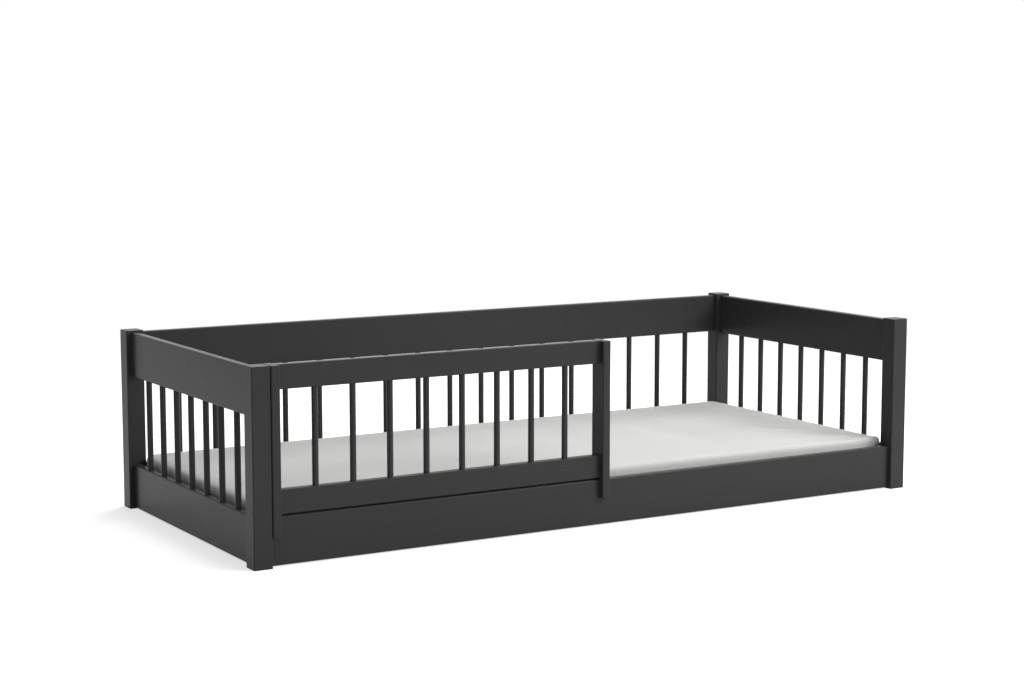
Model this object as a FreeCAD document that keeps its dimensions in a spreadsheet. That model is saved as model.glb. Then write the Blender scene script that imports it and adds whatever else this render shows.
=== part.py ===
"""Toddler floor bed: four posts, spindled ends and back, a lift-off front guard, slats and a mattress.

Millimetres, +Z up. The origin is on the floor, in the middle of the bed's footprint.
+X runs along the bed and the open front faces -Y.
"""
import FreeCAD, Part
import math
import os
import re
import Sketcher
from FreeCAD import Placement, Rotation, Vector

os.makedirs("parts", exist_ok=True)
doc = FreeCAD.newDocument("ToddlerFloorBed")

SIZES = (
    # frame, over the outer faces of the posts
    ("bed_length", 1970),
    ("bed_width", 870),
    ("post_height", 477),
    ("post_side", 48),
    ("post_rounding", 3),
    # rails: the low rails all round and the ends' top rails share one section
    ("rail_thickness", 22),
    ("rail_height", 117),
    ("rail_rounding", 4),
    ("back_rail_height", 112),
    ("top_rail_drop", 5.5),
    ("floor_gap", 2.5),
    # glued tenons of the end rails and of the guard's rails
    ("tenon_length", 14),
    ("guard_tenon_length", 12),
    ("tenon_thickness", 12),
    ("tenon_shoulder", 14),
    ("tenon_clearance", 0.1),
    ("tenon_end_gap", 0.5),
    # spindles, seated in blind bores
    ("spindle_diameter", 15.5),
    ("spindle_seat", 12),
    ("spindle_clearance", 0.1),
    ("spindle_end_gap", 0.5),
    ("end_spindle_count", 7),
    ("back_spindle_count", 17),
    ("guard_spindle_count", 8),
    # guard, which straddles the front rail with forked uprights
    ("guard_length", 934),
    ("guard_side_gap", 0.5),
    ("guard_upright_width", 22),
    ("guard_upright_depth", 54),
    ("guard_upright_rounding", 3),
    ("guard_rail_thickness", 22),
    ("guard_rail_height", 59),
    ("guard_rail_rounding", 3),
    ("guard_rail_gap", 4),
    ("prong_length", 46),
    ("fork_clearance", 0.3),
    # ledgers and slats
    ("ledger_side", 22),
    ("ledger_floor_gap", 5),
    ("ledger_end_gap", 2),
    ("ledger_rounding", 1.5),
    ("slat_count", 12),
    ("slat_width", 90),
    ("slat_thickness", 15),
    ("slat_rounding", 3),
    ("slat_end_clearance", 2),
    ("slat_margin", 38),
    ("strap_width", 25),
    ("strap_thickness", 1.5),
    ("strap_inset", 180),
    # mattress
    ("mattress_thickness", 100),
    ("mattress_crown", 5),
    ("mattress_rounding", 15),
    ("mattress_corner_radius", 30),
    ("mattress_side_draw", 2),
    ("mattress_guard_gap", 1.2),
    ("mattress_back_gap", 4),
    ("mattress_end_gap", 7.5),
    # knock-down joints of the long rails: a bolt into a barrel nut, between two locating pins
    ("bolt_diameter", 6),
    ("bolt_bore_clearance", 0.5),
    ("bolt_thread_clearance", 0.05),
    ("bolt_head_diameter", 10),
    ("bolt_head_height", 6),
    ("bolt_tip", 3),
    ("bolt_bore_spare", 2),
    ("cap_diameter", 13),
    ("cap_clearance", 0.05),
    ("cap_depth", 4),
    ("barrel_nut_diameter", 10),
    ("barrel_nut_length", 14),
    ("barrel_nut_clearance", 0.1),
    ("barrel_nut_inset", 30),
    ("pin_diameter", 8),
    ("pin_depth", 15),
    ("pin_end_gap", 0.5),
    ("pin_spacing", 33),
    ("pin_clearance", 0.05),
    # ledger screws
    ("screw_diameter", 4),
    ("screw_head_diameter", 8),
    ("screw_head_height", 2.5),
    ("screw_clearance", 0.05),
    ("screw_bite", 12),
    ("screw_count", 6),
    ("screw_margin", 60),
)

sheet = doc.addObject("Spreadsheet::Sheet", "Sizes")
for row, (alias, value) in enumerate(SIZES, 1):
    sheet.set(f"A{row}", alias)
    sheet.set(f"B{row}", str(value))
    sheet.setAlias(f"B{row}", alias)
doc.recompute()

# Places that several pieces share, in the sheet's names.
CLEAR_LENGTH = "(bed_length - 2 * post_side)"
CLEAR_WIDTH = "(bed_width - 2 * post_side)"
POST_X = "(bed_length / 2 - post_side / 2)"
FRAME_SHIFT = "((guard_upright_depth - post_side) / 4)"
FRONT_Y = f"({FRAME_SHIFT} - bed_width / 2 + post_side / 2)"
BACK_Y = f"({FRAME_SHIFT} + bed_width / 2 - post_side / 2)"
LOW_RAIL_Z = "(floor_gap + rail_height / 2)"
LOW_RAIL_TOP = "(floor_gap + rail_height)"
END_TOP_RAIL_Z = "(post_height - top_rail_drop - rail_height / 2)"
BACK_TOP_RAIL_Z = "(post_height - top_rail_drop - back_rail_height / 2)"
TENON_HEIGHT = "(rail_height - 2 * tenon_shoulder)"
MORTISE_WIDTH = "(tenon_thickness + 2 * tenon_clearance)"
GUARD_TENON_HEIGHT = "(guard_rail_height - 2 * tenon_shoulder)"
GUARD_CLEAR = "(guard_length - 2 * guard_upright_width)"
GUARD_X = "(guard_side_gap + guard_length / 2 - bed_length / 2 + post_side)"
GUARD_LOW_RAIL_Z = f"({LOW_RAIL_TOP} + guard_rail_gap + guard_rail_height / 2)"
GUARD_TOP_RAIL_Z = "(post_height - guard_rail_height / 2)"
PRONG_FOOT_Z = f"({LOW_RAIL_TOP} - prong_length)"
SLAT_Z = "(ledger_floor_gap + ledger_side + slat_thickness / 2)"
SLAT_LENGTH = "(bed_width - post_side - rail_thickness - 2 * slat_end_clearance)"
BED_CLEAR_LENGTH = "(bed_length - post_side - rail_thickness)"
RECESS_DEPTH = "(cap_depth + bolt_head_height)"
NUT_X = "(bed_length / 2 - post_side - barrel_nut_inset)"
LEDGER_LENGTH = f"({CLEAR_LENGTH} - 2 * ledger_end_gap)"
SCREW_PITCH = f"(({LEDGER_LENGTH} - 2 * screw_margin) / (screw_count - 1))"

# The mattress's sections close in towards its ends.
CORNER_STEP = 15
SECTION_SPACING = (1.6, 3, 6, 12)
END_SOFTNESS = 0.8
CROWN_FALL = 0.8

TOLERANCE = 0.01
START_SECTION = (10, 16)
AXIS_TURN = {
    "x": Rotation(Vector(0, 1, 0), 90),
    "y": Rotation(Vector(1, 0, 0), -90),
    "z": Rotation(),
}
SECTION_PLANE = {"x": "YZ_Plane", "y": "XZ_Plane", "z": "XY_Plane"}

nodes = []


def formula(text):
    """Name the sheet in front of each of its sizes; every alias has an underscore."""
    return re.sub(r"[a-z]+(?:_[a-z]+)+", lambda found: "Sizes." + found.group(0), text)


def size(name):
    return float(sheet.get(name))


def count(name):
    return int(round(size(name)))


def bind(item, **texts):
    for name, text in texts.items():
        item.setExpression(name, formula(text))


def place(item, x="0", y="0", z="0", axis="z"):
    """Turn the item's own Z onto an axis and bind the place of its origin."""
    item.Placement = Placement(Vector(), AXIS_TURN[axis])
    for letter, text in zip("xyz", (x, y, z)):
        item.setExpression(f"Placement.Base.{letter}", formula(text))


def node(item, label):
    item.Label = label
    nodes.append(item)
    return item


def origin_part(body, role):
    return next(part for part in body.Origin.OriginFeatures if part.Role == role)


def spans(edge, axis):
    """True for an edge that runs along one axis only."""
    box = edge.BoundBox
    lengths = {"x": box.XLength, "y": box.YLength, "z": box.ZLength}
    return lengths.pop(axis) > TOLERANCE and max(lengths.values()) < TOLERANCE


def rectangle_sketch(body, axis, width, height):
    """A rectangle centred on the body's origin, square to the axis that the timber runs along."""
    sketch = body.newObject("Sketcher::SketchObject", "Section")
    sketch.AttachmentSupport = [(origin_part(body, SECTION_PLANE[axis]), "")]
    sketch.MapMode = "FlatFace"
    half_width, half_height = (length / 2 for length in START_SECTION)
    corners = [Vector(across * half_width, up * half_height)
               for across, up in ((-1, -1), (1, -1), (1, 1), (-1, 1))]
    for start, end in zip(corners, corners[1:] + corners[:1]):
        sketch.addGeometry(Part.LineSegment(start, end))
    for line in range(4):
        sketch.addConstraint(Sketcher.Constraint("Coincident", line, 2, (line + 1) % 4, 1))
        sketch.addConstraint(Sketcher.Constraint("Vertical" if line % 2 else "Horizontal", line))
    sketch.addConstraint(Sketcher.Constraint("Symmetric", 0, 1, 1, 2, -1, 1))
    across = sketch.addConstraint(Sketcher.Constraint("DistanceX", 0, 1, 0, 2, START_SECTION[0]))
    up = sketch.addConstraint(Sketcher.Constraint("DistanceY", 1, 1, 1, 2, START_SECTION[1]))
    sketch.renameConstraint(across, "Across")
    sketch.renameConstraint(up, "Up")
    sketch.setExpression("Constraints.Across", formula(width))
    sketch.setExpression("Constraints.Up", formula(height))
    return sketch


def timber(label, axis, width, height, length, rounding, standing=False):
    """A planed length of wood with rounded arrises: centred, or standing on its foot with a rounded top."""
    body = node(doc.addObject("PartDesign::Body", label), label)
    pad = body.newObject("PartDesign::Pad", "Length")
    pad.Profile = rectangle_sketch(body, axis, width, height)
    pad.SideType = "One side" if standing else "Symmetric"
    bind(pad, Length=length)
    doc.recompute()
    top = pad.Shape.BoundBox.ZMax
    rounded = [
        f"Edge{index}"
        for index, edge in enumerate(pad.Shape.Edges, 1)
        if spans(edge, axis) or (standing and edge.BoundBox.ZMin > top - TOLERANCE)
    ]
    arrises = body.newObject("PartDesign::Fillet", "Arrises")
    arrises.Base = (pad, rounded)
    bind(arrises, Radius=rounding)
    doc.recompute()
    return body


def block(body, kind, name, sizes, centre):
    """Add or take away a box given by its three sizes and its centre."""
    box = body.newObject(f"PartDesign::{kind}Box", name)
    bind(box, Length=sizes[0], Width=sizes[1], Height=sizes[2])
    place(box, *[f"{middle} - ({side}) / 2" for middle, side in zip(centre, sizes)])
    return box


def drill(body, name, axis, radius, depth, start):
    """Take away a cylinder that runs from start in the positive direction of the axis."""
    bore = body.newObject("PartDesign::SubtractiveCylinder", name)
    bind(bore, Radius=radius, Height=depth)
    place(bore, *start, axis=axis)
    return bore


def repeat(body, feature, axis, total, number):
    row = body.newObject("PartDesign::LinearPattern", "Row")
    row.Originals = [feature]
    row.Direction = (origin_part(body, axis.upper() + "_Axis"), [""])
    bind(row, Length=total, Occurrences=number)
    body.Tip = row


def rod(name, axis, radius, length, start):
    piece = doc.addObject("Part::Cylinder", name)
    bind(piece, Radius=radius, Height=length)
    place(piece, *start, axis=axis)
    return piece


def group(label, pieces):
    """Identical pieces that share one node as separate solids."""
    together = doc.addObject("Part::Compound", label)
    together.Links = pieces
    return node(together, label)


def spindle_bores(body, axis, clear, number, face, underside):
    """A row of evenly spaced blind bores for spindles, into the face at that height, top or underside."""
    pitch = f"({clear} / ({number} + 1))"
    depth = "(spindle_seat + spindle_end_gap)"
    along = f"{pitch} - {clear} / 2"
    start = [along if axis == "x" else "0", along if axis == "y" else "0", face]
    if not underside:
        start[2] = f"{face} - {depth}"
    bore = drill(body, "SpindleBore", "z", "spindle_diameter / 2 + spindle_clearance", depth, start)
    repeat(body, bore, axis, f"{pitch} * ({number} - 1)", number)


def spindles(stem, axis, clear, number_name, middle, foot, head):
    """Round spindles from one rail to the next; middle is the place halfway along their row."""
    pieces = []
    for index in range(1, count(number_name) + 1):
        along = f"({clear} / ({number_name} + 1) * {index} - {clear} / 2)"
        start = [
            f"{middle[0]} + {along}" if axis == "x" else middle[0],
            f"{middle[1]} + {along}" if axis == "y" else middle[1],
            f"{foot} - spindle_seat",
        ]
        length = f"{head} - {foot} + 2 * spindle_seat"
        pieces.append(rod(f"{stem}_{index}", "z", "spindle_diameter / 2", length, start))
    return pieces


def post(label, side, end_y, long_rail_heights):
    """A corner post; side is -1 or 1 along X, and end_y is -1 where the end rails leave it towards +Y."""
    body = timber(label, "z", "post_side", "post_side", "post_height", "post_rounding", standing=True)
    for height in long_rail_heights:
        drill(body, "BoltBore", "x", "bolt_diameter / 2 + bolt_bore_clearance", "post_side",
              ("-post_side / 2", "0", height))
        recess = "-post_side / 2" if side < 0 else f"post_side / 2 - {RECESS_DEPTH}"
        drill(body, "HeadRecess", "x", "cap_diameter / 2", RECESS_DEPTH, (recess, "0", height))
        pin_hole_depth = "(pin_depth + pin_end_gap)"
        pin_start = f"post_side / 2 - {pin_hole_depth}" if side < 0 else "-post_side / 2"
        for sign in ("-", "+"):
            drill(body, "PinHole", "x", "pin_diameter / 2 + pin_clearance", pin_hole_depth,
                  (pin_start, "0", f"{height} {sign} pin_spacing"))
    mortise_depth = "(tenon_length + tenon_end_gap)"
    for height in (LOW_RAIL_Z, END_TOP_RAIL_Z):
        block(body, "Subtractive", "Mortise",
              (MORTISE_WIDTH, mortise_depth, f"{TENON_HEIGHT} + 2 * tenon_clearance"),
              ("0", f"{-end_y} * (post_side / 2 - {mortise_depth} / 2)", height))
    place(body, f"{side} * {POST_X}", FRONT_Y if end_y < 0 else BACK_Y)


def long_rail(label, height, y_place, z_place):
    """A bolted rail between two posts; its barrel nuts are let in from the +Y face."""
    body = timber(label, "x", "rail_thickness", height, CLEAR_LENGTH, "rail_rounding")
    bolt_depth = "(barrel_nut_inset + barrel_nut_diameter / 2 + bolt_tip + bolt_bore_spare)"
    pin_depth = "(pin_depth + pin_end_gap)"
    for side in (-1, 1):
        end = f"{side} * {CLEAR_LENGTH} / 2"
        bolt_start = end if side < 0 else f"{end} - {bolt_depth}"
        pin_start = end if side < 0 else f"{end} - {pin_depth}"
        drill(body, "BoltBore", "x", "bolt_diameter / 2 + bolt_bore_clearance", bolt_depth,
              (bolt_start, "0", "0"))
        drill(body, "NutBore", "y", "barrel_nut_diameter / 2 + barrel_nut_clearance",
              "rail_thickness / 2 + barrel_nut_length / 2",
              (f"{side} * {NUT_X}", "-barrel_nut_length / 2", "0"))
        for sign in ("-", ""):
            drill(body, "PinHole", "x", "pin_diameter / 2 + pin_clearance", pin_depth,
                  (pin_start, "0", f"{sign}pin_spacing"))
    place(body, "0", y_place, z_place)
    return body


def end_rail(label, side, z_place, underside):
    """A rail of an end panel, with a tenon into each post and spindle bores in its top or underside."""
    body = timber(label, "y", "rail_thickness", "rail_height", CLEAR_WIDTH, "rail_rounding")
    block(body, "Additive", "Tenons",
          ("tenon_thickness", f"{CLEAR_WIDTH} + 2 * tenon_length", TENON_HEIGHT), ("0", "0", "0"))
    face = "-rail_height / 2" if underside else "rail_height / 2"
    spindle_bores(body, "y", CLEAR_WIDTH, "end_spindle_count", face, underside)
    place(body, f"{side} * {POST_X}", FRAME_SHIFT, z_place)


def guard_rail(label, z_place, underside):
    """A rail of the guard, with a tenon into each upright and spindle bores in its top or underside."""
    body = timber(label, "x", "guard_rail_thickness", "guard_rail_height", GUARD_CLEAR, "guard_rail_rounding")
    block(body, "Additive", "Tenons",
          (f"{GUARD_CLEAR} + 2 * guard_tenon_length", "tenon_thickness", GUARD_TENON_HEIGHT), ("0", "0", "0"))
    face = "-guard_rail_height / 2" if underside else "guard_rail_height / 2"
    spindle_bores(body, "x", GUARD_CLEAR, "guard_spindle_count", face, underside)
    place(body, GUARD_X, FRONT_Y, z_place)


def guard_upright(label, side):
    """A forked upright: its slot drops over the front rail and its prongs lap both faces."""
    body = timber(label, "z", "guard_upright_width", "guard_upright_depth", f"post_height - {PRONG_FOOT_Z}",
                  "guard_upright_rounding", standing=True)
    block(body, "Subtractive", "Fork",
          ("2 * guard_upright_width", "rail_thickness + 2 * fork_clearance", "prong_length"),
          ("0", "0", "prong_length / 2"))
    depth = "(guard_tenon_length + tenon_end_gap)"
    for height in (GUARD_LOW_RAIL_Z, GUARD_TOP_RAIL_Z):
        block(body, "Subtractive", "Mortise",
              (depth, MORTISE_WIDTH, f"{GUARD_TENON_HEIGHT} + 2 * tenon_clearance"),
              (f"{-side} * (guard_upright_width / 2 - {depth} / 2)", "0", f"{height} - {PRONG_FOOT_Z}"))
    place(body, f"{GUARD_X} + {side} * (guard_length / 2 - guard_upright_width / 2)", FRONT_Y, PRONG_FOOT_Z)


def ledger(label, rail_body, rail_y, inner):
    """A strip that carries the slats, with its screws and their pilot holes in the rail.

    inner is the sign of Y on the mattress side, where the heads of the screws are sunk.
    """
    body = timber(label, "x", "ledger_side", "ledger_side", LEDGER_LENGTH, "ledger_rounding")
    first = f"(screw_margin - {LEDGER_LENGTH} / 2)"
    height = "(ledger_floor_gap + ledger_side / 2)"
    hole = "screw_diameter / 2 + screw_clearance"
    bore = drill(body, "ScrewHole", "y", hole, "ledger_side", (first, "-ledger_side / 2", "0"))
    repeat(body, bore, "x", f"{SCREW_PITCH} * (screw_count - 1)", "screw_count")
    sink_start = "ledger_side / 2 - screw_head_height" if inner > 0 else "-ledger_side / 2"
    sink = drill(body, "HeadSink", "y", "screw_head_diameter / 2 + screw_clearance",
                 "screw_head_height", (first, sink_start, "0"))
    repeat(body, sink, "x", f"{SCREW_PITCH} * (screw_count - 1)", "screw_count")
    y_place = f"{rail_y} + {inner} * (rail_thickness / 2 + ledger_side / 2)"
    place(body, "0", y_place, height)

    pilot_depth = "(screw_bite + screw_clearance)"
    pilot_start = f"rail_thickness / 2 - {pilot_depth}" if inner > 0 else "-rail_thickness / 2"
    pilot = drill(rail_body, "Pilot", "y", hole, pilot_depth,
                  (first, pilot_start, f"{height} - {LOW_RAIL_Z}"))
    repeat(rail_body, pilot, "x", f"{SCREW_PITCH} * (screw_count - 1)", "screw_count")

    shank_length = "(screw_bite + ledger_side - screw_head_height)"
    if inner > 0:
        shank_y = f"{rail_y} + rail_thickness / 2 - screw_bite"
        head_y = f"{shank_y} + {shank_length}"
    else:
        head_y = f"{rail_y} - rail_thickness / 2 - ledger_side"
        shank_y = f"{head_y} + screw_head_height"
    screws = []
    for index in range(count("screw_count")):
        x_place = f"{first} + {SCREW_PITCH} * {index}"
        shank = rod("ScrewShank", "y", "screw_diameter / 2", shank_length, (x_place, shank_y, height))
        head = rod("ScrewHead", "y", "screw_head_diameter / 2", "screw_head_height",
                   (x_place, head_y, height))
        screw = doc.addObject("Part::Fuse", "Screw")
        screw.Base = shank
        screw.Tool = head
        screws.append(screw)
    return screws


def rail_joint(side, y_place, z_place):
    """The bolt, cap, barrel nut and two pins that hold one end of a long rail."""
    outer = f"{side} * bed_length / 2"
    shank_length = f"(post_side - {RECESS_DEPTH} + barrel_nut_inset + barrel_nut_diameter / 2 + bolt_tip)"
    if side < 0:
        starts = (outer, f"{outer} + cap_depth", f"{outer} + {RECESS_DEPTH}")
    else:
        starts = (f"{outer} - cap_depth", f"{outer} - {RECESS_DEPTH}",
                  f"{outer} - {RECESS_DEPTH} - {shank_length}")
    cap = rod("Cap", "x", "cap_diameter / 2 - cap_clearance", "cap_depth", (starts[0], y_place, z_place))
    bolt = doc.addObject("Part::Fuse", "Bolt")
    bolt.Base = rod("BoltHead", "x", "bolt_head_diameter / 2", "bolt_head_height",
                    (starts[1], y_place, z_place))
    bolt.Tool = rod("BoltShank", "x", "bolt_diameter / 2", shank_length, (starts[2], y_place, z_place))
    nut = doc.addObject("Part::Cut", "BarrelNut")
    nut.Base = rod("NutBarrel", "y", "barrel_nut_diameter / 2", "barrel_nut_length",
                   (f"{side} * {NUT_X}", f"{y_place} - barrel_nut_length / 2", z_place))
    nut.Tool = rod("NutThread", "x", "bolt_diameter / 2 + bolt_thread_clearance", "2 * barrel_nut_diameter",
                   (f"{side} * {NUT_X} - barrel_nut_diameter", y_place, z_place))
    pins = [
        rod("Pin", "x", "pin_diameter / 2", "2 * pin_depth",
            (f"{side} * {CLEAR_LENGTH} / 2 - pin_depth", y_place, f"{z_place} {sign} pin_spacing"))
        for sign in ("-", "+")
    ]
    return cap, bolt, nut, pins


def mattress_section(x_place, width, inset, crown):
    """The mattress cut across the bed: flat below, rounded corners, drawn-in sides and a crowned top."""
    half = width / 2
    low = inset
    high = size("mattress_thickness") - inset
    radius = size("mattress_rounding") - inset
    draw = size("mattress_side_draw")
    slant = radius * math.sqrt(0.5)

    def point(across, up):
        return Vector(x_place, across, up)

    def corner(sign, up_sign, centre_up):
        """Three points of a quarter round, from its side end to its flat end."""
        centre = sign * (half - radius)
        return (point(sign * half, centre_up),
                point(centre + sign * slant, centre_up + up_sign * slant),
                point(centre, centre_up + up_sign * radius))

    low_right = corner(1, -1, low + radius)
    high_right = corner(1, 1, high - radius)
    low_left = corner(-1, -1, low + radius)
    high_left = corner(-1, 1, high - radius)
    middle = (low + high) / 2
    edges = [
        Part.LineSegment(low_left[2], low_right[2]),
        Part.Arc(low_right[2], low_right[1], low_right[0]),
        Part.Arc(low_right[0], point(half - draw, middle), high_right[0]),
        Part.Arc(high_right[0], high_right[1], high_right[2]),
        Part.Arc(high_right[2], point(0, high + crown), high_left[2]),
        Part.Arc(high_left[2], high_left[1], high_left[0]),
        Part.Arc(high_left[0], point(draw - half, middle), low_left[0]),
        Part.Arc(low_left[0], low_left[1], low_left[2]),
    ]
    return Part.Wire([edge.toShape() for edge in edges])


def mattress_solid(length, width):
    """A loft along the bed through sections that close in on quarter rounds at both ends."""
    half_length = length / 2
    rounding = size("mattress_rounding")
    corner_radius = size("mattress_corner_radius")
    from_end = [corner_radius * (1 - math.cos(math.radians(angle))) for angle in range(0, 91, CORNER_STEP)]
    from_end += [corner_radius * share for share in SECTION_SPACING]
    stations = sorted({sign * (half_length - gap) for gap in from_end for sign in (-1, 1)} | {0.0})
    sections = []
    for x_place in stations:
        gap = half_length - abs(x_place)
        turned = max(0.0, 1 - gap / corner_radius)
        round_off = 1 - math.sqrt(1 - turned ** 2)
        crown = size("mattress_crown") * (1 - CROWN_FALL * (x_place / half_length) ** 2)
        sections.append(mattress_section(x_place, width - 2 * corner_radius * round_off,
                                         END_SOFTNESS * rounding * round_off, crown))
    return Part.makeLoft(sections, True, True)


# Frame
post("front_left_post", -1, -1, (LOW_RAIL_Z,))
post("front_right_post", 1, -1, (LOW_RAIL_Z,))
post("back_left_post", -1, 1, (LOW_RAIL_Z, BACK_TOP_RAIL_Z))
post("back_right_post", 1, 1, (LOW_RAIL_Z, BACK_TOP_RAIL_Z))
front_rail = long_rail("front_rail", "rail_height", FRONT_Y, LOW_RAIL_Z)
back_bottom_rail = long_rail("back_bottom_rail", "rail_height", BACK_Y, LOW_RAIL_Z)
back_top_rail = long_rail("back_top_rail", "back_rail_height", BACK_Y, BACK_TOP_RAIL_Z)
spindle_bores(back_bottom_rail, "x", CLEAR_LENGTH, "back_spindle_count", "rail_height / 2", False)
spindle_bores(back_top_rail, "x", CLEAR_LENGTH, "back_spindle_count", "-back_rail_height / 2", True)
for stem, side in (("left", -1), ("right", 1)):
    end_rail(f"{stem}_bottom_rail", side, LOW_RAIL_Z, False)
    end_rail(f"{stem}_top_rail", side, END_TOP_RAIL_Z, True)
    end_spindles = spindles(f"{stem}_spindle", "y", CLEAR_WIDTH, "end_spindle_count",
                            (f"{side} * {POST_X}", FRAME_SHIFT), LOW_RAIL_TOP,
                            f"({END_TOP_RAIL_Z} - rail_height / 2)")
    for spindle in end_spindles:
        node(spindle, spindle.Name)
group("back_spindles", spindles("BackSpindle", "x", CLEAR_LENGTH, "back_spindle_count", ("0", BACK_Y),
                                LOW_RAIL_TOP, f"({BACK_TOP_RAIL_Z} - back_rail_height / 2)"))

# Guard
guard_rail("guard_lower_rail", GUARD_LOW_RAIL_Z, False)
guard_rail("guard_top_rail", GUARD_TOP_RAIL_Z, True)
guard_upright("guard_upright_left", -1)
guard_upright("guard_upright_right", 1)
guard_spindles = spindles("guard_spindle", "x", GUARD_CLEAR, "guard_spindle_count", (GUARD_X, FRONT_Y),
                          f"({GUARD_LOW_RAIL_Z} + guard_rail_height / 2)",
                          f"({GUARD_TOP_RAIL_Z} - guard_rail_height / 2)")
for spindle in guard_spindles:
    node(spindle, spindle.Name)

# Ledgers and slats
screws = ledger("front_ledger", front_rail, FRONT_Y, 1)
screws += ledger("back_ledger", back_bottom_rail, BACK_Y, -1)
group("ledger_screws", screws)
slat_pitch = f"(({BED_CLEAR_LENGTH} - 2 * slat_margin - slat_width) / (slat_count - 1))"
for index in range(count("slat_count")):
    slat = timber(f"slat_{index + 1:02d}", "y", "slat_width", "slat_thickness", SLAT_LENGTH, "slat_rounding")
    place(slat, f"slat_margin + slat_width / 2 - {BED_CLEAR_LENGTH} / 2 + {slat_pitch} * {index}",
          FRAME_SHIFT, SLAT_Z)
for name, sign in (("slat_strap_front", "-"), ("slat_strap_back", "+")):
    strap = node(doc.addObject("Part::Box", name), name)
    bind(strap, Length=f"{BED_CLEAR_LENGTH} - 2 * slat_margin", Width="strap_width",
         Height="strap_thickness")
    place(strap, f"slat_margin - {BED_CLEAR_LENGTH} / 2",
          f"{FRAME_SHIFT} {sign} ({SLAT_LENGTH} / 2 - strap_inset) - strap_width / 2",
          f"{SLAT_Z} - slat_thickness / 2 - strap_thickness")

# Knock-down joints
joints = [
    rail_joint(side, y_place, z_place)
    for side in (-1, 1)
    for y_place, z_place in ((FRONT_Y, LOW_RAIL_Z), (BACK_Y, LOW_RAIL_Z), (BACK_Y, BACK_TOP_RAIL_Z))
]
group("bolt_caps", [cap for cap, bolt, nut, pins in joints])
group("frame_bolts", [bolt for cap, bolt, nut, pins in joints])
group("barrel_nuts", [nut for cap, bolt, nut, pins in joints])
group("locating_pins", [pin for cap, bolt, nut, pins in joints for pin in pins])

# Mattress: it fills the space between the rails, less a gap to the guard's inner prongs
mattress_length = (size("bed_length") - size("post_side") - size("rail_thickness")
                   - 2 * size("mattress_end_gap"))
mattress_front = (-size("bed_width") / 2 + size("post_side") / 2 + size("guard_upright_depth") / 2
                  + size("mattress_guard_gap"))
mattress_back = (size("bed_width") / 2 - size("post_side") / 2 - size("rail_thickness") / 2
                 - size("mattress_back_gap"))
mattress = node(doc.addObject("Part::Feature", "mattress"), "mattress")
mattress.Shape = mattress_solid(mattress_length, mattress_back - mattress_front)
mattress.Placement = Placement(Vector(
    0,
    (mattress_back + mattress_front) / 2 + (size("guard_upright_depth") - size("post_side")) / 4,
    size("ledger_floor_gap") + size("ledger_side") + size("slat_thickness")), Rotation())

doc.recompute()
for item in doc.Objects:
    if "Invalid" in item.State or "Error" in item.State:
        raise RuntimeError(f"{item.Label} failed: {item.State}")
for item in nodes:
    if item.Shape.isNull() or not item.Shape.isValid():
        raise RuntimeError(f"{item.Label} has no valid shape")
for item in nodes:
    item.Shape.exportStep(f"parts/{item.Label}.step")
print(f"{len(nodes)} nodes, {sum(len(item.Shape.Solids) for item in nodes)} solids")
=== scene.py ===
import math

import bmesh
import bpy
import numpy as np
from mathutils import Euler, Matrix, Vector
from mathutils.kdtree import KDTree


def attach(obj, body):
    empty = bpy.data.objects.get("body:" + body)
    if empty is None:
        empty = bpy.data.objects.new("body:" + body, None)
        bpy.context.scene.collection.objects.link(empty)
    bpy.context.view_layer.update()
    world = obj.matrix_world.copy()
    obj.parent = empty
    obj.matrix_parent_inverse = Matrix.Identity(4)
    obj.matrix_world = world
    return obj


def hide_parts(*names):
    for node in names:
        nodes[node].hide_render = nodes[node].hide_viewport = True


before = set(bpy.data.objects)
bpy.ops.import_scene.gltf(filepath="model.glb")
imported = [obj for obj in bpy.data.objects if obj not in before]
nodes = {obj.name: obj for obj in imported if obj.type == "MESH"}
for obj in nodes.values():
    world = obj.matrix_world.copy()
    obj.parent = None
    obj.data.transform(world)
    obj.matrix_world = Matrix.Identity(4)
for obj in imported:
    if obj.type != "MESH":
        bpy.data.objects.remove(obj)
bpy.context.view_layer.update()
scene = bpy.context.scene
print("frame loaded")

# camera: place, angles and lens are fitted to the bed's posts and rails
cameraSettings = {
    "place": (-2.8170, -4.6948, 1.1048),
    "pitch": -7.03,
    "yaw": 30.65,
    "lens": 71.385,
    "sensor": 36,
}

cameraData = bpy.data.cameras.new("camera")
cameraData.lens = cameraSettings["lens"]
cameraData.sensor_width = cameraSettings["sensor"]
camera = bpy.data.objects.new("camera", cameraData)
camera.location = cameraSettings["place"]
camera.rotation_euler = Euler((math.radians(90 + cameraSettings["pitch"]), 0,
                               -math.radians(cameraSettings["yaw"])))
scene.collection.objects.link(camera)
scene.camera = camera


# node helpers: a value is a number or a colour, or a socket to link
def setInputs(tree, node, values):
    for key, value in values.items():
        if isinstance(value, bpy.types.NodeSocket):
            tree.links.new(value, node.inputs[key])
        else:
            node.inputs[key].default_value = value


def addNode(tree, kind, settings=None, **values):
    node = tree.nodes.new(kind)
    for key, value in (settings or {}).items():
        setattr(node, key, value)
    for key, value in values.items():  # an input's name, or n and its number
        setInputs(tree, node, {int(key[1:]) if key[1:].isdigit() else key: value})
    return node


def makeGroup(name, inputs, outputs):
    group = bpy.data.node_groups.new(name, "ShaderNodeTree")
    for way, sockets in (("INPUT", inputs), ("OUTPUT", outputs)):
        for socketName, kind in sockets.items():
            group.interface.new_socket(name=socketName, in_out=way, socket_type="NodeSocket" + kind)
    return group, group.nodes.new("NodeGroupInput").outputs, group.nodes.new("NodeGroupOutput")


def placeGroup(tree, group, values):
    node = addNode(tree, "ShaderNodeGroup", {"node_tree": group})
    setInputs(tree, node, values)
    return node.outputs


def combine(tree, operation, first, second=0.0, clamp=False):
    return addNode(tree, "ShaderNodeMath", {"operation": operation, "use_clamp": clamp},
                   n0=first, n1=second).outputs[0]


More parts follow.
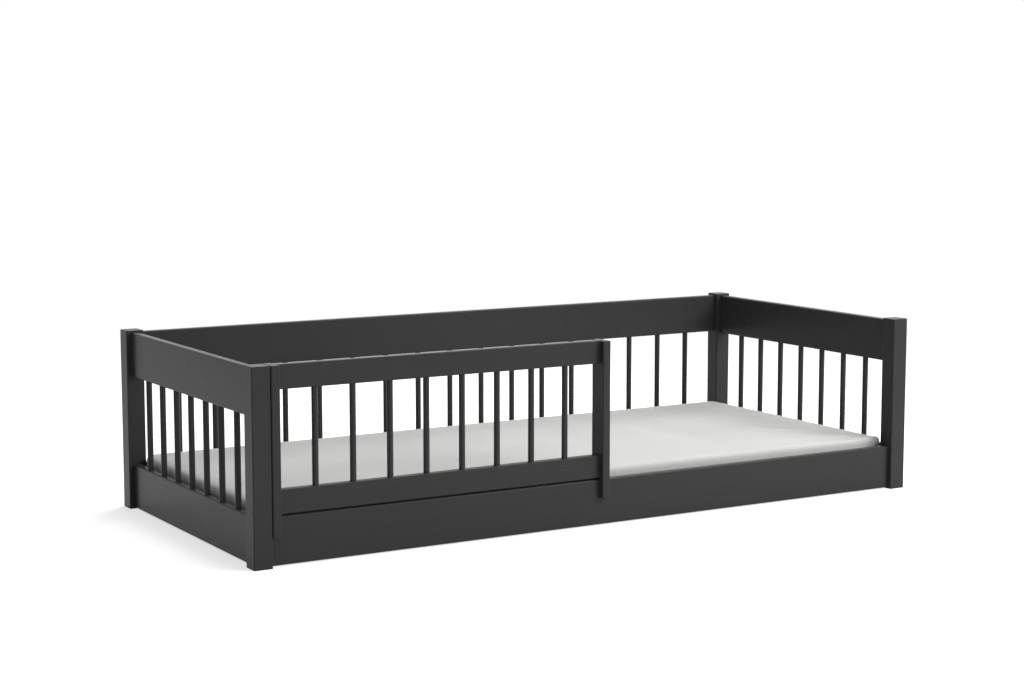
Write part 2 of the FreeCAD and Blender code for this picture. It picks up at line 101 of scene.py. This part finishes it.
def scaled(tree, value, share):
    return combine(tree, "MULTIPLY", value, share)


def mixColor(tree, factor, first, second):
    return addNode(tree, "ShaderNodeMix", {"data_type": "RGBA"},
                   n0=factor, n6=first, n7=second).outputs[2]


def ramp(tree, factor, low, high, lowValue=0.0, highValue=1.0):
    return addNode(tree, "ShaderNodeMapRange", {"interpolation_type": "SMOOTHSTEP"},
                   n0=factor, n1=low, n2=high, n3=lowValue, n4=highValue).outputs[0]


def noise(tree, where, settings):
    return addNode(tree, "ShaderNodeTexNoise", Vector=where, **settings).outputs[0]


def bump(tree, height, strength, distance, **below):
    return addNode(tree, "ShaderNodeBump", Strength=strength, Distance=distance, Height=height,
                   **below).outputs[0]


def objectPlace(tree):
    return addNode(tree, "ShaderNodeTexCoord").outputs["Object"]


def alongTimber(tree, axis, stretch):  # places for a pattern that is stretched along the timber
    scale = [stretch if letter == axis else 1.0 for letter in "xyz"]
    return addNode(tree, "ShaderNodeMapping", Vector=objectPlace(tree), Scale=scale).outputs[0]


def emptyMaterial(name):
    material = bpy.data.materials.new(name)
    material.use_nodes = True
    material.node_tree.nodes.clear()
    return material, material.node_tree


def newMaterial(name):
    material, tree = emptyMaterial(name)
    shader = tree.nodes.new("ShaderNodeBsdfPrincipled")
    addNode(tree, "ShaderNodeOutputMaterial", Surface=shader.outputs[0])
    return material, tree, shader


def useMaterial(thing, material):
    thing.data.materials.clear()
    thing.data.materials.append(material)


# paint: a satin film over planed timber, with faint grain, brush marks and peel, and a painted highlight in
# patches along the arrises
paintSettings = {
    "base": (0.041, 0.0415, 0.0420, 1),
    # painted highlight: the lighter colour laid along the arrises
    "arrisHighlight": (0.06, 0.06, 0.062, 1),
    "specular": 0.09,
    "stretch": 0.04,
    "fibres": {"Scale": 260.0, "Detail": 4.0, "Roughness": 0.62},
    "brushMarks": {"Scale": 38.0, "Detail": 2.0, "Distortion": 0.4},
    "peel": {"Scale": 420.0, "Detail": 2.0},
    "cloud": {"Scale": 5.0, "Detail": 3.0},
    "arrisRadius": 0.0022,
    "arrisTurn": (0.995, 0.90),
    # where along the arrises the painted highlight lies, and how much of it is laid
    "highlightPatches": (0.35, 0.75),
    "highlightShare": 0.55,
    "brushShare": 0.35,
    "cloudShare": 0.45,
    "tone": (0.2, 0.6, 0.95, 1.05),
    "roughness": (0.3, 0.7, 0.25, 0.28),
    "fibreRoughness": 0.03,
    "fibreBump": 0.03,
    "peelBump": 0.02,
    "bumpDistance": 0.0001,
}


def paintGroup(settings):
    group, given, result = makeGroup("satinPaint", {"Grain": "Vector", "Base": "Color", "ArrisHighlight": "Color"},
                                     {"Color": "Color", "Roughness": "Float", "Normal": "Vector"})
    where = objectPlace(group)
    fibres = noise(group, given["Grain"], settings["fibres"])
    brushMarks = noise(group, given["Grain"], settings["brushMarks"])
    peel = noise(group, where, settings["peel"])
    cloud = noise(group, where, settings["cloud"])
    arris = addNode(group, "ShaderNodeBevel", {"samples": 4}, Radius=settings["arrisRadius"]).outputs[0]
    face = addNode(group, "ShaderNodeNewGeometry").outputs["Normal"]
    along = addNode(group, "ShaderNodeVectorMath", {"operation": "DOT_PRODUCT"},
                    n0=arris, n1=face).outputs["Value"]
    # painted highlight: the arrises are lightened in patches, standing in for light catching the edges
    highlightMask = combine(group, "MULTIPLY", ramp(group, along, *settings["arrisTurn"]),
                   ramp(group, fibres, *settings["highlightPatches"]))
    tone = combine(group, "ADD", scaled(group, brushMarks, settings["brushShare"]),
                   scaled(group, cloud, settings["cloudShare"]))
    shade = mixColor(group, ramp(group, tone, *settings["tone"]), (0, 0, 0, 1), given["Base"])
    rough = combine(group, "ADD", ramp(group, cloud, *settings["roughness"]),
                    scaled(group, fibres, settings["fibreRoughness"]))
    grain = bump(group, fibres, settings["fibreBump"], settings["bumpDistance"])
    setInputs(group, result, {
        "Color": mixColor(group, scaled(group, highlightMask, settings["highlightShare"]), shade, given["ArrisHighlight"]),
        "Roughness": rough,
        "Normal": bump(group, peel, settings["peelBump"], settings["bumpDistance"], Normal=grain),
    })
    return group


paintNodes = paintGroup(paintSettings)


def paintMaterial(axis, settings):
    material, tree, shader = newMaterial("paint" + axis.upper())
    # the painted arris highlight colour goes in beside the base colour
    film = placeGroup(tree, paintNodes, {"Grain": alongTimber(tree, axis, settings["stretch"]),
                                         "Base": settings["base"], "ArrisHighlight": settings["arrisHighlight"]})
    setInputs(tree, shader, {"Base Color": film["Color"], "Roughness": film["Roughness"],
                             "Normal": film["Normal"], "Specular IOR Level": settings["specular"]})
    return material


paintAlong = {axis: paintMaterial(axis, paintSettings) for axis in "xyz"}

# slats and ledgers: raw planed pine, with paler early wood, darker late wood and small knots
pineSettings = {
    "early": (0.63, 0.43, 0.235, 1),
    "late": (0.42, 0.245, 0.11, 1),
    "fibre": (0.72, 0.53, 0.32, 1),
    "knot": (0.2, 0.1, 0.045, 1),
    "stretch": 0.05,
    "bends": {"Scale": 9.0, "Detail": 2.0},
    "rings": {"Scale": 70.0, "Detail": 3.0, "Distortion": 0.8},
    "fibres": {"Scale": 520.0, "Detail": 3.0},
    "knotScale": 3.2,
    "bendShare": 0.3,
    "ringShare": 0.7,
    "lateWood": (0.42, 0.62),
    "fibreShare": (0.3, 0.7, 0.0, 0.25),
    "knotShare": (0.012, 0.0, 0.0, 0.35),
    "roughness": (0.3, 0.7, 0.62, 0.78),
    "bump": 0.4,
    "bumpDistance": 0.0002,
}


def pineMaterial(axis, settings):
    material, tree, shader = newMaterial("pine" + axis.upper())
    grain = alongTimber(tree, axis, settings["stretch"])
    fibres = noise(tree, grain, settings["fibres"])
    knots = addNode(tree, "ShaderNodeTexVoronoi", {"feature": "DISTANCE_TO_EDGE"},
                    Vector=objectPlace(tree), Scale=settings["knotScale"]).outputs[0]
    rings = combine(tree, "ADD", scaled(tree, noise(tree, grain, settings["rings"]), settings["ringShare"]),
                    scaled(tree, noise(tree, grain, settings["bends"]), settings["bendShare"]))
    wood = mixColor(tree, ramp(tree, rings, *settings["lateWood"]), settings["early"], settings["late"])
    wood = mixColor(tree, ramp(tree, fibres, *settings["fibreShare"]), wood, settings["fibre"])
    wood = mixColor(tree, ramp(tree, knots, *settings["knotShare"]), wood, settings["knot"])
    setInputs(tree, shader, {
        "Base Color": wood,
        "Roughness": ramp(tree, fibres, *settings["roughness"]),
        "Normal": bump(tree, fibres, settings["bump"], settings["bumpDistance"]),
    })
    return material


pineAlong = {axis: pineMaterial(axis, pineSettings) for axis in "xy"}

# woven cotton: warp and weft threads as two crossed waves, with slubs
weaveSettings = {"slubs": {"Scale": 240.0, "Detail": 3.0}, "threadHeight": 0.25, "slubHeight": 0.6}


def weaveGroup(settings):
    group, given, result = makeGroup("weave", {"Vector": "Vector", "Threads": "Float"},
                                     {"Height": "Float", "Slub": "Float"})
    parts = addNode(group, "ShaderNodeSeparateXYZ", Vector=given["Vector"]).outputs
    warp = combine(group, "SINE", combine(group, "MULTIPLY", parts[0], given["Threads"]))
    upright = combine(group, "ADD", parts[1], parts[2])
    weft = combine(group, "SINE", combine(group, "MULTIPLY", upright, given["Threads"]))
    slub = noise(group, given["Vector"], settings["slubs"])
    crossed = scaled(group, combine(group, "ADD", warp, weft), settings["threadHeight"])
    height = combine(group, "ADD", crossed, scaled(group, slub, settings["slubHeight"]))
    setInputs(group, result, {"Height": height, "Slub": slub})
    return group


weaveNodes = weaveGroup(weaveSettings)

clothSettings = {
    "cloud": {"Scale": 3.5, "Detail": 3.0},
    "cloudShare": (0.35, 0.65),
    "slubShare": (0.35, 0.7, 0.0, 0.2),
    "roughness": (0.3, 0.7, 0.82, 0.95),
    "bumpDistance": 0.0003,
    "specular": 0.2,
}
coverSettings = {
    **clothSettings,
    "threads": 5200.0,
    "dark": (0.61, 0.613, 0.60, 1),
    "light": (0.67, 0.672, 0.66, 1),
    "thread": (0.73, 0.73, 0.72, 1),
    "bump": 0.25,
    "sheen": 0.15,
}
webbingSettings = {
    **clothSettings,
    "threads": 2600.0,
    "dark": (0.60, 0.58, 0.53, 1),
    "light": (0.68, 0.66, 0.6, 1),
    "thread": (0.76, 0.74, 0.69, 1),
    "bump": 0.6,
    "sheen": 0.1,
}


def clothMaterial(name, settings):
    material, tree, shader = newMaterial(name)
    where = objectPlace(tree)
    weave = placeGroup(tree, weaveNodes, {"Vector": where, "Threads": settings["threads"]})
    cloud = ramp(tree, noise(tree, where, settings["cloud"]), *settings["cloudShare"])
    shade = mixColor(tree, cloud, settings["dark"], settings["light"])
    setInputs(tree, shader, {
        "Base Color": mixColor(tree, ramp(tree, weave["Slub"], *settings["slubShare"]), shade,
                               settings["thread"]),
        "Roughness": ramp(tree, weave["Slub"], *settings["roughness"]),
        "Normal": bump(tree, weave["Height"], settings["bump"], settings["bumpDistance"]),
        "Sheen Weight": settings["sheen"],
        "Specular IOR Level": settings["specular"],
    })
    return material


coverCloth = clothMaterial("coverCloth", coverSettings)
webbing = clothMaterial("webbing", webbingSettings)

# bolts, nuts and screws: zinc-plated steel
steelSettings = {
    "dark": (0.42, 0.43, 0.44, 1),
    "light": (0.66, 0.66, 0.64, 1),
    "cloud": {"Scale": 300.0, "Detail": 4.0},
    "roughness": (0.3, 0.7, 0.25, 0.45),
    "bump": 0.2,
    "bumpDistance": 0.0001,
}


def steelMaterial(settings):
    material, tree, shader = newMaterial("zincSteel")
    cloud = noise(tree, objectPlace(tree), settings["cloud"])
    setInputs(tree, shader, {
        "Base Color": mixColor(tree, cloud, settings["dark"], settings["light"]),
        "Roughness": ramp(tree, cloud, *settings["roughness"]),
        "Normal": bump(tree, cloud, settings["bump"], settings["bumpDistance"]),
        "Metallic": 1,
    })
    return material


steel = steelMaterial(steelSettings)

# painted timbers: the first of these words in a piece's name says which way its grain runs
grainOf = {"post": "z", "spindle": "z", "upright": "z", "front_rail": "x", "back_": "x", "guard_": "x",
           "left_": "y", "right_": "y"}


def finishOf(name):
    if name.startswith("slat_strap"):
        return webbing
    if name.startswith("slat"):
        return pineAlong["y"]
    if name in ("ledger_screws", "frame_bolts", "barrel_nuts"):
        return steel
    if "ledger" in name or name == "locating_pins":
        return pineAlong["x"]
    if name == "bolt_caps":
        return paintAlong["y"]
    return paintAlong[next(axis for word, axis in grainOf.items() if word in name)]


for name, thing in nodes.items():
    if name != "mattress":
        useMaterial(thing, finishOf(name))
print("materials made")

# mattress: a coarse copy is swollen by cloth simulation, and the fine cover takes its swelling.
# Then come the pushed-out front right corner, the fuller front edge, the creases and the seam round the sides
mattressSettings = {
    "merge": 0.00001,
    "coarse": 0.024,
    "fine": 0.012,
    "frames": 20,
    "quality": 3,
    "pressure": 0.05,
    "cap": 0.003,
    "sideShare": 0.3,
    "neighbours": 6,
    "soften": 0.002,
    "fill": 0.9,
    "low": (-0.9445, -0.3820, 0.0425),
    "high": (0.9475, 0.4000, 0.1560),
    "cornerFrom": (0.905, -0.345),
    "cornerSpan": 0.03,
    "cornerPush": (0.0085, -0.0035),
    "frontEdge": 0.005,
    "seam": {"height": 0.088, "width": 0.006, "depth": 0.0022, "turn": (0.3, 0.7)},
    "creaseTurn": (0.3, 0.8),
    "creaseEnds": 0.1,
    "creases": [
        {"path": ((0.593, -0.299), (0.690, -0.322), (0.838, -0.366)), "width": 0.017, "depth": 0.0080},
        {"path": ((0.760, -0.230), (0.857, -0.290)), "width": 0.017, "depth": 0.0062},
        {"path": ((0.720, -0.105), (0.815, -0.170)), "width": 0.017, "depth": 0.0060},
        {"path": ((0.755, 0.000), (0.840, -0.075)), "width": 0.018, "depth": 0.0062},
        {"path": ((0.790, 0.090), (0.855, 0.010)), "width": 0.018, "depth": 0.0062},
        {"path": ((0.845, 0.200), (0.885, 0.110)), "width": 0.018, "depth": 0.0058},
        {"path": ((0.470, 0.220), (0.445, 0.010), (0.470, -0.190)), "width": 0.070, "depth": 0.0075},
    ],
}


def readVertices(piece, what="co"):
    values = np.zeros(len(piece.data.vertices) * 3)
    piece.data.vertices.foreach_get(what, values)
    return values.reshape(-1, 3)


def writeVertices(piece, places):
    piece.data.vertices.foreach_set("co", places.ravel())
    piece.data.update()


def bakeModifiers(piece, name):
    shape = bpy.data.meshes.new_from_object(piece.evaluated_get(bpy.context.evaluated_depsgraph_get()))
    shape.name = name
    piece.modifiers.clear()
    piece.data = shape


def softStep(values, low, high):
    part = np.clip((values - low) / (high - low), 0, 1)
    return part * part * (3 - 2 * part)


def groove(distance, width):
    return np.exp(-(distance / width) ** 2)


def alongPath(spots, path):  # each spot's distance from a run of lines, and its share of the way along
    path = np.array(path)
    lengths = np.linalg.norm(np.diff(path, axis=0), axis=1)
    best = np.full(len(spots), np.inf)
    share = np.zeros(len(spots))
    for start, end, length, passed in zip(path, path[1:], lengths, np.cumsum(lengths) - lengths):
        way = (end - start) / length
        inside = np.clip((spots - start) @ way, 0, length)
        away = np.linalg.norm(spots - start - inside[:, None] * way, axis=1)
        nearer = away < best
        best[nearer] = away[nearer]
        share[nearer] = ((passed + inside) / lengths.sum())[nearer]
    return best, share


def copyMattress(name, voxel, merge):
    work = bmesh.new()
    work.from_mesh(nodes["mattress"].data)
    bmesh.ops.remove_doubles(work, verts=work.verts, dist=merge)
    mesh = bpy.data.meshes.new(name)
    work.to_mesh(mesh)
    work.free()
    copy = bpy.data.objects.new(name, mesh)
    scene.collection.objects.link(copy)
    remesh = copy.modifiers.new("Remesh", "REMESH")
    remesh.mode = "VOXEL"
    remesh.voxel_size = voxel
    bakeModifiers(copy, name)
    return copy


def simulateSwelling(settings):  # places on the coarse copy, and how far each of them moves
    core = copyMattress("mattressCore", settings["coarse"], settings["merge"])
    start = readVertices(core)
    bottom = start[:, 2] < start[:, 2].min() + settings["coarse"] / 2
    held = core.vertex_groups.new(name="held")
    held.add(np.nonzero(bottom)[0].tolist(), 1.0, "REPLACE")
    cloth = core.modifiers.new("Cloth", "CLOTH")
    cloth.settings.quality = settings["quality"]
    cloth.settings.vertex_group_mass = "held"
    cloth.settings.use_pressure = True
    cloth.settings.uniform_pressure_force = settings["pressure"]
    cloth.settings.effector_weights.gravity = 0
    cloth.collision_settings.use_collision = False
    cloth.point_cache.frame_start = 1
    cloth.point_cache.frame_end = settings["frames"]
    for frameNumber in range(1, settings["frames"] + 1):
        scene.frame_set(frameNumber)
    bakeModifiers(core, "mattressCore")
    scene.frame_set(1)
    moved = readVertices(core) - start
    length = np.linalg.norm(moved, axis=1, keepdims=True)
    print("cloth moved up to", round(float(length.max()), 4))
    moved *= settings["cap"] * np.tanh(length / settings["cap"]) / np.maximum(length, 1e-9)
    moved[:, :2] *= settings["sideShare"]
    bpy.data.objects.remove(core)
    return start, moved


def swellCover(pad, settings):  # each place moves with the nearest places of the coarse copy
    start, moved = simulateSwelling(settings)
    finder = KDTree(len(start))
    for index, place in enumerate(start):
        finder.insert(place, index)
    finder.balance()
    shape = readVertices(pad)
    for number, place in enumerate(shape.tolist()):
        near = finder.find_n(place, settings["neighbours"])
        weights = np.array([1 / (away + settings["soften"]) for spot, index, away in near])
        shape[number] += weights @ moved[[index for spot, index, away in near]] / weights.sum()
    writeVertices(pad, shape)


def shapeCover(pad, settings):
    shape = readVertices(pad)
    facing = readVertices(pad, "normal")
    upward = facing[:, 2]
    fromX, fromY = settings["cornerFrom"]
    span = settings["cornerSpan"]
    corner = softStep(shape[:, 0], fromX, fromX + span) * softStep(-shape[:, 1], -fromY, -fromY + span)
    shape[:, :2] += corner[:, None] * np.array(settings["cornerPush"])

    # most where the cover turns from its top to its front
    turning = 4 * upward ** 2 * (1 - upward ** 2) * (upward > 0) * np.maximum(-facing[:, 1], 0)
    shape += facing * (settings["frontEdge"] * turning)[:, None]

    top = softStep(upward, *settings["creaseTurn"])
    ends = settings["creaseEnds"]
    for crease in settings["creases"]:
        away, share = alongPath(shape[:, :2], crease["path"])
        fade = np.sin(np.pi * (ends + (1 - 2 * ends) * share))
        shape[:, 2] -= top * crease["depth"] * fade * groove(away, crease["width"])

    seam = settings["seam"]
    side = 1 - softStep(np.abs(upward), *seam["turn"])
    sunk = side * seam["depth"] * groove(shape[:, 2] - seam["height"], seam["width"])
    shape[:, :2] -= facing[:, :2] * sunk[:, None]
    writeVertices(pad, np.clip(shape, settings["low"], settings["high"]))


def buildMattress(settings):
    pad = copyMattress("mattressPad", settings["fine"], settings["merge"])
    surface = pad.modifiers.new("Subdivision", "SUBSURF")
    surface.levels = surface.render_levels = 1
    wrap = pad.modifiers.new("Shrinkwrap", "SHRINKWRAP")
    wrap.target = nodes["mattress"]
    bakeModifiers(pad, "mattressPad")
    swellCover(pad, settings)
    shapeCover(pad, settings)
    pad.data.polygons.foreach_set("use_smooth", [True] * len(pad.data.polygons))
    useMaterial(pad, coverCloth)
    return pad


mattressPad = buildMattress(mattressSettings)
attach(mattressPad, "mattress")
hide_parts("mattress")
print("mattress made")

# floor: white to the camera and in reflections, with the bed's pale shadow near it
stageSettings = {"size": 30, "albedo": (0.85, 0.85, 0.85, 1), "near": 0.62, "far": 1.0, "fade": (1.5, 4.0)}


def shownRays(tree):  # 1 for rays that show the white background, 0 for those that light the bed
    path = addNode(tree, "ShaderNodeLightPath").outputs
    mirrored = combine(tree, "ADD", path["Is Glossy Ray"], path["Is Transmission Ray"])
    return combine(tree, "ADD", path["Is Camera Ray"], mirrored, clamp=True)


def stageMaterial(settings):
    material, tree = emptyMaterial("studioWhite")
    shown = shownRays(tree)
    away = addNode(tree, "ShaderNodeVectorMath", {"operation": "LENGTH"},
                   n0=objectPlace(tree)).outputs["Value"]
    far = combine(tree, "MULTIPLY", shown, ramp(tree, away, *settings["fade"]))
    lit = addNode(tree, "ShaderNodeBsdfDiffuse",
                  Color=mixColor(tree, far, settings["albedo"], (0, 0, 0, 1)))
    level = addNode(tree, "ShaderNodeMix", Factor=far, n2=settings["near"], n3=settings["far"]).outputs[0]
    glow = addNode(tree, "ShaderNodeEmission", Color=(1, 1, 1, 1),
                   Strength=combine(tree, "MULTIPLY", shown, level))
    both = addNode(tree, "ShaderNodeAddShader", n0=lit.outputs[0], n1=glow.outputs[0])
    addNode(tree, "ShaderNodeOutputMaterial", Surface=both.outputs[0])
    return material


def buildFloor(settings):
    work = bmesh.new()
    bmesh.ops.create_grid(work, x_segments=1, y_segments=1, size=settings["size"] / 2)
    mesh = bpy.data.meshes.new("floor")
    work.to_mesh(mesh)
    work.free()
    sheet = bpy.data.objects.new("floor", mesh)
    scene.collection.objects.link(sheet)
    useMaterial(sheet, stageMaterial(settings))
    return sheet


floor = buildFloor(stageSettings)

# light: surroundings dim to the left and behind, a soft key at the front right, a wide lamp high behind
# the right end, and a pool on the floor at the front right
lightSettings = {
    "dim": 0.14,
    "bright": 0.85,
    "rightShare": 0.75,
    "frontShare": 0.40,
    "turn": (-0.6, 0.85),
    "lamps": {
        "key": {"place": (4.2, -3.9, 3.5), "aim": (0.6, -0.5, 0.2), "size": 3.0, "power": 135},
        "top": {"place": (1.9, 2.0, 3.9), "aim": (0.4, 0.0, 0), "size": 2.8, "power": 105},
        "pool": {"place": (2.6, -3.6, 2.6), "aim": (2.4, -2.8, 0), "size": 2.2, "power": 78},
    },
}


def addLamp(name, settings):
    data = bpy.data.lights.new(name, "AREA")
    data.shape = "SQUARE"
    data.size = settings["size"]
    data.energy = settings["power"]
    lamp = bpy.data.objects.new(name, data)
    lamp.location = settings["place"]
    aim = Vector(settings["aim"]) - Vector(settings["place"])
    lamp.rotation_euler = aim.to_track_quat("-Z", "Y").to_euler()
    scene.collection.objects.link(lamp)


def buildSurround(settings):
    world = bpy.data.worlds.new("surround")
    world.use_nodes = True
    tree = world.node_tree
    tree.nodes.clear()
    toward = addNode(tree, "ShaderNodeSeparateXYZ",
                     Vector=addNode(tree, "ShaderNodeTexCoord").outputs["Generated"]).outputs
    side = combine(tree, "SUBTRACT", scaled(tree, toward[0], settings["rightShare"]),
                   scaled(tree, toward[1], settings["frontShare"]))
    around = ramp(tree, side, *settings["turn"], settings["dim"], settings["bright"])
    level = addNode(tree, "ShaderNodeMix", Factor=shownRays(tree), n2=around, n3=1.0).outputs[0]
    sky = addNode(tree, "ShaderNodeBackground", Color=(1, 1, 1, 1), Strength=level)
    addNode(tree, "ShaderNodeOutputWorld", Surface=sky.outputs[0])
    return world


for name, settings in lightSettings["lamps"].items():
    addLamp(name, settings)
scene.world = buildSurround(lightSettings)
scene.view_settings.view_transform = "Standard"
print("stage and lights made")
